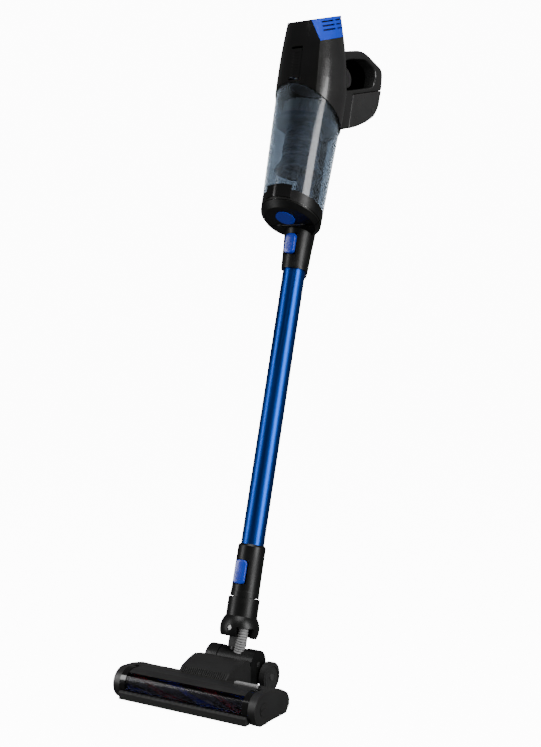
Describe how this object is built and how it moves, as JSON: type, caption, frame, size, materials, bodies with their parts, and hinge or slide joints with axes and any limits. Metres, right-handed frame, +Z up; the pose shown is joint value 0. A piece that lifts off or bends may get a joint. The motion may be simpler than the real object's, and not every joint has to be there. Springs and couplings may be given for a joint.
{
  "type": "cordless stick vacuum",
  "caption": "Cordless stick vacuum: motorised brush head with swivelling neck, metal wand, clear dust cup, motor body with loop handle and slide-out battery.",
  "frame": {"origin": "on the floor under the brush head, at the sole behind the suction mouth", "axes": "+Z up, -Y towards the front of the floor head, +X to the right seen from the front; the wand leans back towards +Y"},
  "size_m": [0.2477, 0.5742, 1.0436],
  "materials": {
    "black_gloss": "high gloss",
    "dark_shell": "metallic dark grey gloss",
    "battery_shell": "dark grey semi-gloss",
    "black_satin": "satin",
    "head_black": "satin",
    "bumper_rubber": "soft",
    "hose_grey": "ribbed",
    "blue_plastic": "gloss",
    "blue_anodised": "anodised",
    "smoky_clear": "smoky clear",
    "window_clear": "smoky clear",
    "grey_clear": "translucent grey",
    "trigger_grey": "satin",
    "bristle_blue": "bristle",
    "bristle_red": "bristle",
    "brush_core_dark": "satin",
    "wheel_black": "matt",
    "steel": "machined",
    "motor_metal": "drawn can",
    "belt_rubber": "matt",
    "inner_dark": "satin",
    "filter_paper": "pleated",
    "board_green": "board",
    "cell_wrap": "film"
  },
  "bodies": {
    "handheld": {"front_panel": "black_gloss", "vent_grille": "blue_plastic", "motor_housing": "dark_shell", "suction_motor": "motor_metal", "motor_mount": "inner_dark", "control_board": "board_green", "handle_left": "dark_shell", "handle_right": "dark_shell", "trigger_pin": "steel"},
    "trigger": {"trigger": "trigger_grey"},
    "cup_release": {"cup_release_slide": "black_gloss"},
    "fan": {"fan_wheel": "inner_dark"},
    "battery": {"battery_case": "battery_shell", "battery_cells": "cell_wrap"},
    "battery_catch_left": {"battery_button_left": "trigger_grey"},
    "battery_catch_right": {"battery_button_right": "trigger_grey"},
    "cup": {"dust_cup": "smoky_clear", "cup_base": "black_satin", "lid_hinge_pin": "steel", "inlet_duct": "inner_dark", "cyclone_shroud": "inner_dark", "filter_frame": "inner_dark", "pleated_filter": "filter_paper", "rear_rail": "black_satin", "lid_catch": "black_gloss"},
    "lid": {"cup_lid": "black_satin"},
    "lid_push": {"lid_button": "blue_plastic"},
    "wand": {"wand_tube": "blue_anodised", "lower_sleeve": "black_satin", "upper_sleeve": "black_satin"},
    "upper_button": {"upper_release_button": "blue_plastic"},
    "lower_button": {"lower_release_button": "blue_plastic"},
    "neck": {"swivel_housing": "black_satin", "swivel_pins": "steel"},
    "cradle": {"neck_cradle": "black_satin", "neck_hose": "hose_grey"},
    "head": {"head_base": "head_black", "deck_cover": "head_black", "centre_housing": "head_black", "end_cap_left": "head_black", "end_cap_right": "head_black", "brush_access_disc": "head_black", "front_bumper": "bumper_rubber", "sole_screws": "steel", "head_motor": "motor_metal", "drive_belt": "belt_rubber", "brush_bearing": "steel", "neck_yoke": "black_satin", "wheel_axles": "steel", "pivot_pins": "steel", "brush_window": "window_clear", "window_end_blocks": "black_gloss"},
    "window_catch": {"window_latch": "grey_clear"},
    "brush": {"brush_core": "brush_core_dark", "bristles_blue": "bristle_blue", "bristles_red": "bristle_red", "brush_pulley": "brush_core_dark"},
    "head_rotor": {"motor_pulley": "steel"},
    "wheel_l": {"wheel_left": "wheel_black"},
    "wheel_r": {"wheel_right": "wheel_black"}
  },
  "joints": [
    {"name": "trigger_pull", "type": "hinge", "parent": "handheld", "child": "trigger", "pos_m": [0, 0.40203, 0.97395], "axis": [1, 0, 0], "range_deg": [0, 8], "stiffness_Nm_per_rad": 0.4, "springref_deg": -14.32},
    {"name": "cup_release_slide_down", "type": "slide", "parent": "handheld", "child": "cup_release", "axis": [0, -0.2807, -0.9598], "range_m": [0, 0.0038], "stiffness_N_per_m": 400, "springref_m": -0.004},
    {"name": "fan_spin", "type": "hinge", "parent": "handheld", "child": "fan", "pos_m": [0, 0.31599, 0.92201], "axis": [0, 0.2807, 0.9598], "continuous": true},
    {"name": "battery_pull", "type": "slide", "parent": "handheld", "child": "battery", "axis": [0, 0.9806, 0.1961], "range_m": [0, 0.06]},
    {"name": "battery_button_left_press", "type": "slide", "parent": "battery", "child": "battery_catch_left", "axis": [1, 0, 0], "range_m": [0, 0.002], "stiffness_N_per_m": 500, "springref_m": -0.003},
    {"name": "battery_button_right_press", "type": "slide", "parent": "battery", "child": "battery_catch_right", "axis": [-1, 0, 0], "range_m": [0, 0.002], "stiffness_N_per_m": 500, "springref_m": -0.003},
    {"name": "cup_pull", "type": "slide", "parent": "handheld", "child": "cup", "axis": [0, -0.2807, -0.9598], "range_m": [0, 0.03]},
    {"name": "lid_open", "type": "hinge", "parent": "cup", "child": "lid", "pos_m": [0, 0.25875, 0.69953], "axis": [1, 0, 0], "range_deg": [0, 60]},
    {"name": "lid_button_press", "type": "slide", "parent": "lid", "child": "lid_push", "axis": [0, 0.5369, 0.8437], "range_m": [0, 0.0015], "stiffness_N_per_m": 500, "springref_m": -0.003},
    {"name": "wand_pull", "type": "slide", "parent": "cup", "child": "wand", "axis": [0, -0.2807, -0.9598], "range_m": [0, 0.045]},
    {"name": "upper_button_press", "type": "slide", "parent": "wand", "child": "upper_button", "axis": [0, 0.9598, -0.2807], "range_m": [0, 0.0018], "stiffness_N_per_m": 500, "springref_m": -0.003},
    {"name": "lower_button_press", "type": "slide", "parent": "wand", "child": "lower_button", "axis": [0, 0.9598, -0.2807], "range_m": [0, 0.0018], "stiffness_N_per_m": 500, "springref_m": -0.003},
    {"name": "head_pull", "type": "slide", "parent": "wand", "child": "neck", "axis": [0, -0.2807, -0.9598], "range_m": [0, 0.045]},
    {"name": "neck_swing", "type": "hinge", "parent": "neck", "child": "cradle", "pos_m": [0, 0.11069, 0.08811], "axis": [0, 0.9598, -0.2807], "range_deg": [-33, 33]},
    {"name": "head_pitch", "type": "hinge", "parent": "cradle", "child": "head", "pos_m": [0, 0.0975, 0.043], "axis": [1, 0, 0], "range_deg": [-16, 60]},
    {"name": "window_latch_slide", "type": "slide", "parent": "head", "child": "window_catch", "axis": [1, 0, 0], "range_m": [0, 0.005], "stiffness_N_per_m": 300, "springref_m": -0.003},
    {"name": "brush_spin", "type": "hinge", "parent": "head", "child": "brush", "pos_m": [0, -0.015, 0.0215], "axis": [1, 0, 0], "continuous": true},
    {"name": "head_motor_spin", "type": "hinge", "parent": "head", "child": "head_rotor", "pos_m": [0, 0.03, 0.0215], "axis": [1, 0, 0], "continuous": true},
    {"name": "wheel_left_spin", "type": "hinge", "parent": "head", "child": "wheel_l", "pos_m": [0, 0.114, 0.022], "axis": [1, 0, 0], "continuous": true},
    {"name": "wheel_right_spin", "type": "hinge", "parent": "head", "child": "wheel_r", "pos_m": [0, 0.114, 0.022], "axis": [1, 0, 0], "continuous": true}
  ],
  "couplings": [
    {"joint": "head_motor_spin", "follows": "brush_spin", "ratio": 2.4}
  ]
}
